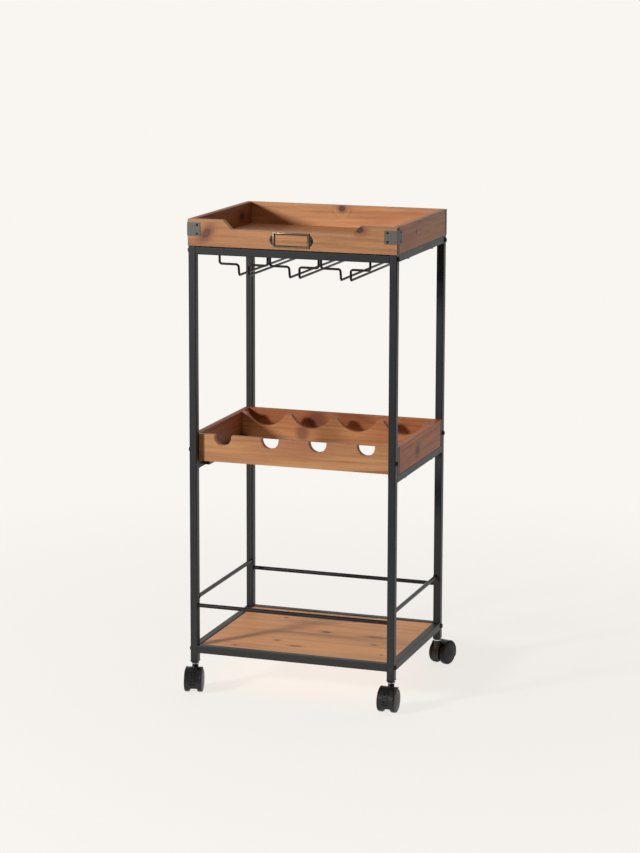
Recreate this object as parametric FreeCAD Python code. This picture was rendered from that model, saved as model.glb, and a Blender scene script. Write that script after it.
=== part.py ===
import FreeCAD, Part
import math
import os

# Bar cart on four swivelling casters: a knock-down steel frame with a wooden tray on top,
# a wooden bottle rack halfway up, a wire rack for stemmed glasses and a wooden bottom shelf.
# Millimetres. The origin is on the floor under the middle of the frame.
# +X is the user's right, +Y points to the back and +Z is up.

V = FreeCAD.Vector

# Frame
FRAME_WIDTH = 420.0
FRAME_DEPTH = 332.0
TUBE = 15.0
TUBE_WALL = 1.5
TUBE_CORNER = 1.5
POST_BOTTOM = 59.0
SHELF_RAIL_BOTTOM = 75.0
RACK_RAIL_BOTTOM = 444.5
TOP_RAIL_BOTTOM = 868.5
TOP_LONG_RAIL_DROP = 1.5
FRONT_GUARD_HEIGHT = 170.5
SIDE_GUARD_HEIGHT = 186.0
GUARD_DIAMETER = 8.0
SIDE_GUARD_INSET = 10.5
SPLICE_LENGTH = 70.0
SPLICE_BOLT_RISE = 23.5
BOLT_RADIUS = 3.0
BOLT_HEAD_RADIUS = 5.0
BOLT_HEAD_HEIGHT = 3.2
RAIL_NUT_LENGTH = 14.0

# Wooden boards
BOARD = 12.0
RACK_HEIGHT = 53.0
TRAY_HEIGHT = 52.0
BOARD_ROUNDING = 0.8

# Tray
TRAY_OVERHANG = 0.8
TRAY_FLOOR = 6.0
TRAY_FLOOR_RISE = 2.5
TRAY_GROOVE = 4.0
TRAY_TONGUE = 3.0
TRAY_FLOOR_GAP = 0.3
DIP_DEPTH = 17.5
DIP_HALF_WIDTH = 120.5

# Corner plates and label holder on the tray
PLATE_LEG = 26.0
PLATE_HEIGHT = 26.0
PLATE_THICKNESS = 0.9
PLATE_DROP = 6.5
RIVET_FROM_CORNER = 19.5
RIVET_SPACING = 17.0
RIVET_RADIUS = 2.2
RIVET_HEIGHT = 0.9
LABEL_WIDTH = 73.0
LABEL_HEIGHT = 28.5
LABEL_WINDOW_WIDTH = 65.0
LABEL_WINDOW_HEIGHT = 20.0
LABEL_RISE = 4.5
LABEL_LIP = 3.4
LABEL_THICKNESS = 2.2
LABEL_ROUNDING = 0.7
LABEL_EAR_RADIUS = 12.0
LABEL_EAR_REACH = 7.0
LABEL_EAR_THICKNESS = 1.0
LABEL_SCREW_RADIUS = 2.3
LABEL_SCREW_HEIGHT = 1.2

# Bottle rack
BOTTLE_PITCH = 97.5
BOTTLE_COUNT = 4
NECK_RADIUS = 17.5
NECK_DEPTH = 20.4
SADDLE_CHORD = 84.5
SADDLE_DEPTH = 26.0
SADDLE_FROM_FRONT = 260.0
CLEAT_WIDTH = 12.0
CLEAT_HEIGHT = 12.0
CLEAT_FROM_FRONT = 39.0

# Wire rack for glasses
GLASS_PITCH = 103.0
GLASS_COUNT = 3
WIRE_RADIUS = 2.3
WIRE_BEND = 5.0
WIRE_LEG_OFFSET = 49.0
WIRE_STEP_OFFSET = 10.4
WIRE_SLOT_OFFSET = 9.8
WIRE_WELD_RISE = 8.0
WIRE_STEP_DROP = 19.3
WIRE_RUN_DROP = 40.3
WIRE_RUN_INSET = 3.0

# Bottom shelf
SHELF_PANEL = 12.0
SHELF_RECESS = 1.5
SHELF_GAP = 0.5
TAB_LENGTH = 24.0
TAB_REACH = 16.0
TAB_FROM_MIDDLE = 110.0

# Wood screws
SCREW_RADIUS = 1.75
SCREW_HEAD_RADIUS = 3.5
SCREW_HEAD_HEIGHT = 2.2
RAIL_SCREW_LENGTH = 34.0
CLEAT_SCREW_LENGTH = 26.0
TAB_SCREW_LENGTH = 9.0
RAIL_SCREW_X = 205.0
TRAY_SCREW_Y = 80.0
RACK_SCREW_Y = 90.0

# Casters: the wheels trail behind the stem, so each axle stands off the swivel axis
WHEEL_RADIUS = 23.5
WHEEL_INNER = 8.0
WHEEL_WIDTH = 9.5
WHEEL_DOME = 1.2
WHEEL_ROUNDING = 1.6
WHEEL_RIM = 4.0
WHEEL_RECESS = 2.0
WHEEL_HUB_RADIUS = 6.0
WHEEL_BORE_END = 0.4
TRAIL = 18.0
AXLE_RADIUS = 2.5
AXLE_HALF_LENGTH = 14.5
HOOD_INNER = 24.4
HOOD_OUTER = 25.8
HOOD_HALF_WIDTH = 15.8
HOOD_WEB = 7.5
HOOD_FLOOR_GAP = 12.0
HOOD_FRONT_ANGLE = -26.5
HOOD_BACK_ANGLE = 125.0
NECK_BOSS_RADIUS = 6.2
NECK_BOSS_TOP = 51.7
STEM_RADIUS = 4.0
STEM_BOTTOM = 31.0
RUNNING_FIT = 0.05
WASHER_RADIUS = 7.5
WASHER_THICKNESS = 2.0
PLUG_CAP = 5.0
PLUG_DEPTH = 22.0
PLUG_BEVEL = 2.6
STEM_SHORT_OF_PLUG = 6.0
PEDAL_HALF_WIDTH = 5.2
PEDAL_GAP = 0.35
PEDAL_END_GAP = 3.0
PEDAL_THICKNESS = 2.4
PEDAL_ANGLE = 21.6
PEDAL_HALF_ARC = 28.0
PEDAL_PIVOT_RADIUS = 21.1
PEDAL_POCKET_RADIUS = 18.1
PEDAL_PIN_RADIUS = 1.3
PEDAL_PIN_SHORT = 0.3
PEDAL_HUB_RADIUS = 2.2
PEDAL_RIB_HALF_ARC = 4.0
PEDAL_DOT_RADIUS = 1.5
PEDAL_DOT_ARC = 17.0
PEDAL_DOT_DEPTH = 1.0

# Swivel of each caster as the cart stands, in degrees. A front caster trails to the front
# and a back caster to the back.
CASTER_TURN = {"fl": 13.0, "fr": 0.0, "rl": 180.0 + 20.0, "rr": 180.0 - 20.0}
BRAKED = ("fl", "fr")

# Cutting shapes reach this far past what they cut, and sectors are built from steps of this angle.
FAR = 100.0
WEDGE_STEP = 45.0

HALF_WIDTH = FRAME_WIDTH / 2
HALF_DEPTH = FRAME_DEPTH / 2
INNER_X = HALF_WIDTH - TUBE
INNER_Y = HALF_DEPTH - TUBE
POST_X = HALF_WIDTH - TUBE / 2
POST_Y = HALF_DEPTH - TUBE / 2
POST_TOP = TOP_RAIL_BOTTOM + TUBE
POST_SPLIT = RACK_RAIL_BOTTOM + TUBE
SHELF_RAIL_TOP = SHELF_RAIL_BOTTOM + TUBE
TRAY_BOTTOM = POST_TOP
TRAY_TOP = TRAY_BOTTOM + TRAY_HEIGHT
TRAY_HALF_WIDTH = HALF_WIDTH + TRAY_OVERHANG
TRAY_HALF_DEPTH = HALF_DEPTH + TRAY_OVERHANG
RACK_BOTTOM = POST_SPLIT
RACK_TOP = RACK_BOTTOM + RACK_HEIGHT
SADDLE_Y = SADDLE_FROM_FRONT - HALF_DEPTH
SPLICE_BOLT_HEIGHT = POST_SPLIT + SPLICE_BOLT_RISE
TOP_LONG_RAIL_BOTTOM = TOP_RAIL_BOTTOM - TOP_LONG_RAIL_DROP
TOP_BOLT_HEIGHT = TOP_LONG_RAIL_BOTTOM + TUBE / 2
SHELF_BOLT_HEIGHT = SHELF_RAIL_BOTTOM + TUBE / 2
CORNERS = {"fl": (-1, -1), "fr": (1, -1), "rl": (-1, 1), "rr": (1, 1)}


# ---------------------------------------------------------------- plain shapes

def block(low, high):
    """A box from its lowest to its highest corner."""
    return Part.makeBox(high[0] - low[0], high[1] - low[1], high[2] - low[2], V(*low))


def rod(radius, start, end):
    """A round bar from one point to another."""
    run = V(*end) - V(*start)
    return Part.makeCylinder(radius, run.Length, V(*start), run)


def prism(outline, thickness, direction):
    """A closed wire pushed along a direction."""
    return Part.Face(outline).extrude(direction * thickness)


def edges_along(shape, direction):
    """The straight edges of a shape that run along a direction."""
    found = []
    for edge in shape.Edges:
        if isinstance(edge.Curve, Part.Line):
            if abs(edge.tangentAt(edge.FirstParameter).dot(direction)) > 0.999:
                found.append(edge)
    return found


def square_tube(low, high, direction):
    """A square tube with rounded corners that fills a box and is open at both ends."""
    outer = block(low, high)
    outer = outer.makeFillet(TUBE_CORNER, edges_along(outer, direction))
    wall = V(TUBE_WALL, TUBE_WALL, TUBE_WALL) - direction * (TUBE_WALL + 1)
    inner = block(tuple(V(*low) + wall), tuple(V(*high) - wall))
    return outer.cut(inner)


def softened(shape):
    """A wooden board with its sharp edges eased."""
    return shape.makeFillet(BOARD_ROUNDING, shape.Edges)


def dome(radius, height, base, direction):
    """A low round head that stands on a face."""
    ball = (radius ** 2 + height ** 2) / (2 * height)
    head = Part.makeSphere(ball, V(0, 0, height - ball))
    keep = Part.makeCylinder(radius + 1, height + 1)
    head = head.common(keep)
    head.Placement = FreeCAD.Placement(V(*base), FreeCAD.Rotation(V(0, 0, 1), direction))
    return head


def group(solids):
    """Separate solids that share one node."""
    return Part.makeCompound([part for solid in solids for part in solid.Solids])


# ---------------------------------------------------------------- steel frame

def post(side_x, side_y, low, high, bolt_heights):
    """One length of corner post, drilled for the bolts that cross it."""
    x, y = side_x * POST_X, side_y * POST_Y
    half = TUBE / 2
    tube = square_tube((x - half, y - half, low), (x + half, y + half, high), V(0, 0, 1))
    for height in bolt_heights:
        tube = tube.cut(rod(BOLT_RADIUS, (x - TUBE, y, height), (x + TUBE, y, height)))
    return tube


def posts():
    """Four upper and four lower posts, which meet at the top of the rack rails."""
    made = {}
    for corner, (side_x, side_y) in CORNERS.items():
        made["upper_post_" + corner] = post(
            side_x, side_y, POST_SPLIT, POST_TOP, (SPLICE_BOLT_HEIGHT, TOP_BOLT_HEIGHT))
        made["lower_post_" + corner] = post(
            side_x, side_y, POST_BOTTOM, POST_SPLIT, (SHELF_BOLT_HEIGHT,))
    return made


def post_splices():
    """Bars inside the posts that carry the upper length on the lower one."""
    half = TUBE / 2 - TUBE_WALL - RUNNING_FIT
    bars = []
    for side_x, side_y in CORNERS.values():
        x, y = side_x * POST_X, side_y * POST_Y
        bar = block((x - half, y - half, POST_SPLIT - SPLICE_LENGTH / 2),
                    (x + half, y + half, POST_SPLIT + SPLICE_LENGTH / 2))
        hole = rod(BOLT_RADIUS, (x, y, SPLICE_BOLT_HEIGHT), (x + side_x * TUBE, y, SPLICE_BOLT_HEIGHT))
        bars.append(bar.cut(hole))
    return group(bars)


def long_rails(bottom):
    """The front and back rail of one level, which run between the posts."""
    return group([
        square_tube((-INNER_X, side * POST_Y - TUBE / 2, bottom),
                    (INNER_X, side * POST_Y + TUBE / 2, bottom + TUBE), V(1, 0, 0))
        for side in (-1, 1)])


def side_rails(bottom):
    """The left and right rail of one level, welded between the posts."""
    return group([
        square_tube((side * POST_X - TUBE / 2, -INNER_Y, bottom),
                    (side * POST_X + TUBE / 2, INNER_Y, bottom + TUBE), V(0, 1, 0))
        for side in (-1, 1)])


def rail_nuts():
    """Threaded blocks in the ends of the long rails, where the frame bolts pull up."""
    half = TUBE / 2 - TUBE_WALL
    nuts = []
    for height in (TOP_BOLT_HEIGHT, SHELF_BOLT_HEIGHT):
        for side_x, side_y in CORNERS.values():
            y = side_y * POST_Y
            ends = sorted((side_x * INNER_X, side_x * (INNER_X - RAIL_NUT_LENGTH)))
            nut = block((ends[0], y - half, height - half), (ends[1], y + half, height + half))
            hole = rod(BOLT_RADIUS, (ends[0] - 1, y, height), (ends[1] + 1, y, height))
            nuts.append(nut.cut(hole))
    return group(nuts)


def frame_bolts():
    """Dome-headed bolts on the outer sides of the posts."""
    bolts = []
    reach = {TOP_BOLT_HEIGHT: TUBE + RAIL_NUT_LENGTH - 2, SHELF_BOLT_HEIGHT: TUBE + RAIL_NUT_LENGTH - 2,
             SPLICE_BOLT_HEIGHT: TUBE / 2}
    for height, length in reach.items():
        for side_x, side_y in CORNERS.values():
            face = (side_x * HALF_WIDTH, side_y * POST_Y, height)
            tip = (side_x * (HALF_WIDTH - length), side_y * POST_Y, height)
            head = dome(BOLT_HEAD_RADIUS, BOLT_HEAD_HEIGHT, face, V(side_x, 0, 0))
            bolts.append(head.fuse(rod(BOLT_RADIUS, face, tip)))
    return group(bolts)


def long_guards():
    """Round rods along the front and the back above the bottom shelf."""
    return group([rod(GUARD_DIAMETER / 2, (-INNER_X, side * POST_Y, FRONT_GUARD_HEIGHT),
                      (INNER_X, side * POST_Y, FRONT_GUARD_HEIGHT)) for side in (-1, 1)])


def side_guards():
    """Round rods along the left and the right above the bottom shelf."""
    x = HALF_WIDTH - SIDE_GUARD_INSET
    return group([rod(GUARD_DIAMETER / 2, (side * x, -INNER_Y, SIDE_GUARD_HEIGHT),
                      (side * x, INNER_Y, SIDE_GUARD_HEIGHT)) for side in (-1, 1)])


# ---------------------------------------------------------------- bottom shelf

def shelf_panel():
    """The wooden shelf, a little below the top of the rails round it."""
    top = SHELF_RAIL_TOP - SHELF_RECESS
    x, y = INNER_X - SHELF_GAP, INNER_Y - SHELF_GAP
    return softened(block((-x, -y, top - SHELF_PANEL), (x, y, top)))


def tab_places():
    """Where the tabs under the shelf stand: two along each long rail and one at each side."""
    long_side = [(side_x * TAB_FROM_MIDDLE, side_y * INNER_Y, 0, side_y)
                 for side_x, side_y in CORNERS.values()]
    short_side = [(side_x * INNER_X, 0.0, side_x, 0) for side_x in (-1, 1)]
    return long_side + short_side


def shelf_tabs():
    """Flat steel tabs welded inside the rails, which carry the shelf."""
    top = SHELF_RAIL_TOP - SHELF_RECESS - SHELF_PANEL
    tabs = []
    for x, y, out_x, out_y in tab_places():
        half_x = TAB_LENGTH / 2 if out_y else TAB_REACH / 2
        half_y = TAB_REACH / 2 if out_y else TAB_LENGTH / 2
        mid_x, mid_y = x - out_x * TAB_REACH / 2, y - out_y * TAB_REACH / 2
        tabs.append(block((mid_x - half_x, mid_y - half_y, SHELF_RAIL_BOTTOM),
                          (mid_x + half_x, mid_y + half_y, top)))
    return group(tabs)


# ---------------------------------------------------------------- tray

def tray_floor():
    """The bottom of the tray, with a tongue all round that sits in a groove in the walls."""
    x, y = TRAY_HALF_WIDTH - BOARD, TRAY_HALF_DEPTH - BOARD
    low = TRAY_BOTTOM + TRAY_FLOOR_RISE
    gap, reach = TRAY_FLOOR_GAP, TRAY_GROOVE
    panel = block((gap - x, gap - y, low), (x - gap, y - gap, low + TRAY_FLOOR))
    tongue = block((-x - reach, -y - reach, low), (x + reach, y + reach, low + TRAY_TONGUE))
    return panel.fuse(tongue).removeSplitter()


def tray_front():
    """The front wall of the tray, which dips in the middle for the hand."""
    y = -TRAY_HALF_DEPTH
    dip_top = DIP_HALF_WIDTH + DIP_DEPTH
    corners = [(-TRAY_HALF_WIDTH, TRAY_BOTTOM), (TRAY_HALF_WIDTH, TRAY_BOTTOM), (TRAY_HALF_WIDTH, TRAY_TOP),
               (dip_top, TRAY_TOP), (DIP_HALF_WIDTH, TRAY_TOP - DIP_DEPTH),
               (-DIP_HALF_WIDTH, TRAY_TOP - DIP_DEPTH), (-dip_top, TRAY_TOP), (-TRAY_HALF_WIDTH, TRAY_TOP)]
    outline = Part.makePolygon([V(x, y, z) for x, z in corners + corners[:1]])
    return softened(prism(outline, BOARD, V(0, 1, 0))).cut(tray_floor())


def tray_back():
    """The plain back wall of the tray."""
    y = TRAY_HALF_DEPTH
    board = block((-TRAY_HALF_WIDTH, y - BOARD, TRAY_BOTTOM), (TRAY_HALF_WIDTH, y, TRAY_TOP))
    return softened(board).cut(tray_floor())


def tray_side(side):
    """A side wall of the tray, which stands between the front and the back wall."""
    outer, inner = side * TRAY_HALF_WIDTH, side * (TRAY_HALF_WIDTH - BOARD)
    y = TRAY_HALF_DEPTH - BOARD
    board = block((min(outer, inner), -y, TRAY_BOTTOM), (max(outer, inner), y, TRAY_TOP))
    eased = board.makeFillet(BOARD_ROUNDING, edges_along(board, V(0, 1, 0)))
    return eased.cut(tray_floor())


def corner_plates():
    """Bent steel plates that wrap the two front corners of the tray."""
    top = TRAY_TOP - PLATE_DROP
    plates = []
    for side in (-1, 1):
        outer = side * (TRAY_HALF_WIDTH + PLATE_THICKNESS)
        front = -TRAY_HALF_DEPTH - PLATE_THICKNESS
        inward = outer - side * (PLATE_LEG + PLATE_THICKNESS)
        solid = block((min(outer, inward), front, top - PLATE_HEIGHT),
                      (max(outer, inward), front + PLATE_LEG + PLATE_THICKNESS, top))
        bend = [edge for edge in edges_along(solid, V(0, 0, 1))
                if abs(edge.Vertexes[0].X - outer) < 0.01 and abs(edge.Vertexes[0].Y - front) < 0.01]
        solid = solid.makeFillet(PLATE_THICKNESS, bend)
        wood = block((-TRAY_HALF_WIDTH, -TRAY_HALF_DEPTH, top - PLATE_HEIGHT - 1),
                     (TRAY_HALF_WIDTH, TRAY_HALF_DEPTH, top + 1))
        plates.append(solid.cut(wood))
    return group(plates)


def plate_rivets():
    """Round rivets, two in each leg of each corner plate."""
    middle = TRAY_TOP - PLATE_DROP - PLATE_HEIGHT / 2
    across = TRAY_HALF_WIDTH - RIVET_FROM_CORNER
    along = TRAY_HALF_DEPTH - RIVET_FROM_CORNER
    rivets = []
    for side in (-1, 1):
        for lift in (-RIVET_SPACING / 2, RIVET_SPACING / 2):
            front = (side * across, -TRAY_HALF_DEPTH - PLATE_THICKNESS, middle + lift)
            flank = (side * (TRAY_HALF_WIDTH + PLATE_THICKNESS), -along, middle + lift)
            rivets.append(dome(RIVET_RADIUS, RIVET_HEIGHT, front, V(0, -1, 0)))
            rivets.append(dome(RIVET_RADIUS, RIVET_HEIGHT, flank, V(side, 0, 0)))
    return group(rivets)


def label_ear_x():
    """How far from the middle the label holder's screws stand."""
    return LABEL_WIDTH / 2 + LABEL_EAR_REACH / 2


def label_holder():
    """A metal frame for a paper label, with a round ear at each end."""
    low = TRAY_BOTTOM + LABEL_RISE
    front = -TRAY_HALF_DEPTH
    half = LABEL_WIDTH / 2
    frame = block((-half, front - LABEL_THICKNESS, low), (half, front, low + LABEL_HEIGHT))
    proud = [edge for edge in frame.Edges if abs(edge.CenterOfMass.y - front + LABEL_THICKNESS) < 0.01]
    frame = frame.makeFillet(LABEL_ROUNDING, proud)
    window = block((-LABEL_WINDOW_WIDTH / 2, front - TUBE, low + LABEL_LIP),
                   (LABEL_WINDOW_WIDTH / 2, front + TUBE, low + LABEL_LIP + LABEL_WINDOW_HEIGHT))
    middle = low + LABEL_HEIGHT / 2
    offset = half + LABEL_EAR_REACH - LABEL_EAR_RADIUS
    for side in (-1, 1):
        ear = rod(LABEL_EAR_RADIUS, (side * offset, front, middle),
                  (side * offset, front - LABEL_EAR_THICKNESS, middle))
        ends = sorted((side * (half - 1), side * LABEL_WIDTH))
        keep = block((ends[0], front - LABEL_THICKNESS, low), (ends[1], front, low + LABEL_HEIGHT))
        frame = frame.fuse(ear.common(keep))
    return frame.cut(window).removeSplitter()


def label_screws():
    """The two round-headed screws of the label holder."""
    middle = TRAY_BOTTOM + LABEL_RISE + LABEL_HEIGHT / 2
    face = -TRAY_HALF_DEPTH - LABEL_EAR_THICKNESS
    places = [(side * label_ear_x(), face, middle) for side in (-1, 1)]
    return group([dome(LABEL_SCREW_RADIUS, LABEL_SCREW_HEIGHT, place, V(0, -1, 0)) for place in places])


# ---------------------------------------------------------------- bottle rack

def bottle_places():
    """The middle of each bottle across the rack."""
    return [(index - (BOTTLE_COUNT - 1) / 2) * BOTTLE_PITCH for index in range(BOTTLE_COUNT)]


def full_width_board(y):
    """A board across the whole rack, with its front face at y."""
    return block((-HALF_WIDTH, y, RACK_BOTTOM), (HALF_WIDTH, y + BOARD, RACK_TOP))


def rack_front():
    """The front board, with a round notch for each bottle's neck."""
    y = -INNER_Y
    board = full_width_board(y)
    for x in bottle_places():
        centre = RACK_TOP - NECK_DEPTH + NECK_RADIUS
        board = board.cut(rod(NECK_RADIUS, (x, y - 1, centre), (x, y + BOARD + 1, centre)))
        mouth = block((x - NECK_RADIUS, y - 1, centre), (x + NECK_RADIUS, y + BOARD + 1, RACK_TOP + 1))
        board = board.cut(mouth)
    return softened(board)


def rack_saddle():
    """The inner board, with a wide hollow for each bottle's body."""
    radius = ((SADDLE_CHORD / 2) ** 2 + SADDLE_DEPTH ** 2) / (2 * SADDLE_DEPTH)
    centre = RACK_TOP - SADDLE_DEPTH + radius
    side = HALF_WIDTH - BOARD
    board = block((-side, SADDLE_Y, RACK_BOTTOM), (side, SADDLE_Y + BOARD, RACK_TOP))
    for x in bottle_places():
        board = board.cut(rod(radius, (x, SADDLE_Y - 1, centre), (x, SADDLE_Y + BOARD + 1, centre)))
    return softened(board)


def rack_back():
    """The plain back board."""
    return softened(full_width_board(INNER_Y - BOARD))


def rack_side(side):
    """A side board, which stands between the front and the back board."""
    outer, inner = side * HALF_WIDTH, side * (HALF_WIDTH - BOARD)
    y = INNER_Y - BOARD
    board = block((min(outer, inner), -y, RACK_BOTTOM), (max(outer, inner), y, RACK_TOP))
    return board.makeFillet(BOARD_ROUNDING, edges_along(board, V(0, 1, 0)))


def rack_cleats():
    """Battens under the saddle and the back board that drop between the side rails."""
    cleats = []
    for side in (-1, 1):
        ends = sorted((side * INNER_X, side * (INNER_X - CLEAT_WIDTH)))
        cleats.append(block((ends[0], CLEAT_FROM_FRONT - HALF_DEPTH, RACK_BOTTOM - CLEAT_HEIGHT),
                            (ends[1], INNER_Y, RACK_BOTTOM)))
    return group(cleats)


# ---------------------------------------------------------------- wire rack for glasses

def rounded_path(points, radius):
    """A wire through the points, with each corner turned by a tangent arc."""
    points = [V(*point) for point in points]
    edges = []
    start = points[0]
    for before, corner, after in zip(points, points[1:], points[2:]):
        arrive = (before - corner).normalize()
        leave = (after - corner).normalize()
        half_angle = arrive.getAngle(leave) / 2
        reach = radius / math.tan(half_angle)
        first, last = corner + arrive * reach, corner + leave * reach
        bisector = (arrive + leave).normalize()
        middle = corner + bisector * (radius / math.sin(half_angle) - radius)
        edges.append(Part.LineSegment(start, first).toShape())
        edges.append(Part.Arc(first, middle, last).toShape())
        start = last
    edges.append(Part.LineSegment(start, points[-1]).toShape())
    return Part.Wire(edges)


def glass_wire(centre, side):
    """One bent wire from the front rail to the back rail, on one side of a slot."""
    offsets = (WIRE_LEG_OFFSET, WIRE_STEP_OFFSET, WIRE_SLOT_OFFSET)
    leg, step, slot = (centre + side * offset for offset in offsets)
    y = INNER_Y - WIRE_RADIUS
    top = TOP_RAIL_BOTTOM + WIRE_WELD_RISE
    step_z = TOP_RAIL_BOTTOM - WIRE_STEP_DROP
    run_z = TOP_RAIL_BOTTOM - WIRE_RUN_DROP
    half = [(leg, y, top), (leg, y, step_z), (step, y, step_z), (slot, y - WIRE_RUN_INSET, run_z)]
    points = half + [(x, -y_back, z) for x, y_back, z in reversed(half)]
    path = rounded_path(points, WIRE_BEND)
    section = Part.Wire([Part.makeCircle(WIRE_RADIUS, V(leg, y, top), V(0, 0, 1))])
    return path.makePipeShell([section], True, False)


def glass_hanger(index):
    """The pair of wires that hold one row of glasses by the foot."""
    centre = (index - (GLASS_COUNT - 1) / 2) * GLASS_PITCH
    return group([glass_wire(centre, side) for side in (-1, 1)])


# ---------------------------------------------------------------- wood screws

def screw(x, y, seat, length):
    """A pan-headed wood screw driven upwards from a seat."""
    head = Part.makeCylinder(SCREW_HEAD_RADIUS, SCREW_HEAD_HEIGHT, V(x, y, seat - SCREW_HEAD_HEIGHT))
    return head.fuse(Part.makeCylinder(SCREW_RADIUS, length, V(x, y, seat)))


def wood_screws():
    """Screws up through the side rails, the cleats and the shelf tabs."""
    screws = []
    for side_x, side_y in CORNERS.values():
        x = side_x * RAIL_SCREW_X
        screws.append(screw(x, side_y * TRAY_SCREW_Y, TOP_RAIL_BOTTOM, RAIL_SCREW_LENGTH))
        screws.append(screw(x, side_y * RACK_SCREW_Y, RACK_RAIL_BOTTOM, RAIL_SCREW_LENGTH))
    for side in (-1, 1):
        for y in (SADDLE_Y + BOARD / 2, INNER_Y - BOARD / 2):
            screws.append(screw(side * (INNER_X - CLEAT_WIDTH / 2), y, RACK_BOTTOM - CLEAT_HEIGHT,
                                CLEAT_SCREW_LENGTH))
    for x, y, out_x, out_y in tab_places():
        screws.append(screw(x - out_x * TAB_REACH / 2, y - out_y * TAB_REACH / 2, SHELF_RAIL_BOTTOM,
                            TAB_SCREW_LENGTH))
    return group(screws)


# ---------------------------------------------------------------- casters
# Each piece is made with its stem on the Z axis and its wheels trailing towards -Y,
# then turned and moved under its post.

AXLE_CENTRE = V(0, -TRAIL, WHEEL_RADIUS)


def on_corner(shape, corner):
    """A caster piece turned and moved under its post."""
    side_x, side_y = CORNERS[corner]
    shape = shape.copy()
    shape.rotate(V(0, 0, 0), V(0, 0, 1), CASTER_TURN[corner])
    shape.translate(V(side_x * POST_X, side_y * POST_Y, 0))
    return shape


def around_axle(radius, half_width):
    """A disc on the axle's line."""
    start = AXLE_CENTRE - V(half_width, 0, 0)
    return Part.makeCylinder(radius, 2 * half_width, start, V(1, 0, 0))


def at_angle(radius, degrees, x=0.0):
    """A point at a radius round the axle; 0 degrees is straight ahead and 90 is up."""
    turn = math.radians(degrees)
    return AXLE_CENTRE + V(x, -radius * math.cos(turn), radius * math.sin(turn))


def wedge(from_angle, to_angle, half_width):
    """A sector round the axle, used to cut arcs out of discs."""
    steps = max(2, int(abs(to_angle - from_angle) / WEDGE_STEP) + 1)
    angles = [from_angle + (to_angle - from_angle) * i / steps for i in range(steps + 1)]
    rim = [at_angle(FAR, angle, -half_width) for angle in angles]
    centre = AXLE_CENTRE - V(half_width, 0, 0)
    return prism(Part.makePolygon([centre] + rim + [centre]), 2 * half_width, V(1, 0, 0))


def arc_shell(inner, outer, from_angle, to_angle, half_width):
    """A curved strip round the axle."""
    ring = around_axle(outer, half_width).cut(around_axle(inner, half_width + 1))
    return ring.common(wedge(from_angle, to_angle, half_width + 1))


def caster_hood(braked):
    """The body of a caster: a web between the wheels, a curved cover and the stem's socket."""
    web = around_axle(HOOD_OUTER, HOOD_WEB)
    web = web.cut(block((-FAR, -FAR, -FAR), (FAR, FAR, HOOD_FLOOR_GAP)))
    cover = arc_shell(HOOD_INNER, HOOD_OUTER, HOOD_FRONT_ANGLE, HOOD_BACK_ANGLE, HOOD_HALF_WIDTH)
    boss = Part.makeCylinder(NECK_BOSS_RADIUS, NECK_BOSS_TOP - STEM_BOTTOM, V(0, 0, STEM_BOTTOM))
    hood = web.fuse([cover, boss])
    hood = hood.cut(Part.makeCylinder(STEM_RADIUS + RUNNING_FIT, 40, V(0, 0, STEM_BOTTOM - RUNNING_FIT)))
    hood = hood.cut(around_axle(AXLE_RADIUS, AXLE_HALF_LENGTH))
    if braked:
        half_arc = PEDAL_HALF_ARC + PEDAL_END_GAP
        pocket = arc_shell(PEDAL_POCKET_RADIUS, HOOD_OUTER + 5, PEDAL_ANGLE - half_arc,
                           PEDAL_ANGLE + half_arc, PEDAL_HALF_WIDTH + PEDAL_GAP)
        pin = at_angle(PEDAL_PIVOT_RADIUS, PEDAL_ANGLE, -HOOD_WEB)
        pin_hole = Part.makeCylinder(PEDAL_PIN_RADIUS + RUNNING_FIT, 2 * HOOD_WEB, pin, V(1, 0, 0))
        hood = hood.cut(pocket).cut(pin_hole)
    return hood.removeSplitter()


def brake_pedal():
    """A rocker in the front of the hood: its lower half locks the wheels, its upper half frees them."""
    plate = arc_shell(HOOD_OUTER - PEDAL_THICKNESS, HOOD_OUTER, PEDAL_ANGLE - PEDAL_HALF_ARC,
                      PEDAL_ANGLE + PEDAL_HALF_ARC, PEDAL_HALF_WIDTH)
    hub_start = at_angle(PEDAL_PIVOT_RADIUS, PEDAL_ANGLE, -PEDAL_HALF_WIDTH)
    hub = Part.makeCylinder(PEDAL_HUB_RADIUS, 2 * PEDAL_HALF_WIDTH, hub_start, V(1, 0, 0))
    rib = arc_shell(PEDAL_PIVOT_RADIUS, HOOD_INNER, PEDAL_ANGLE - PEDAL_RIB_HALF_ARC,
                    PEDAL_ANGLE + PEDAL_RIB_HALF_ARC, PEDAL_HALF_WIDTH)
    pin_half = HOOD_WEB - PEDAL_PIN_SHORT
    pin_start = at_angle(PEDAL_PIVOT_RADIUS, PEDAL_ANGLE, -pin_half)
    pin = Part.makeCylinder(PEDAL_PIN_RADIUS, 2 * pin_half, pin_start, V(1, 0, 0))
    pedal = plate.fuse([hub, rib, pin])
    for side in (-1, 1):
        angle = PEDAL_ANGLE + side * PEDAL_DOT_ARC
        outside = at_angle(HOOD_OUTER + 1, angle)
        inside = at_angle(HOOD_OUTER - PEDAL_DOT_DEPTH, angle)
        pedal = pedal.cut(rod(PEDAL_DOT_RADIUS, tuple(outside), tuple(inside)))
    return pedal.removeSplitter()


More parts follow.
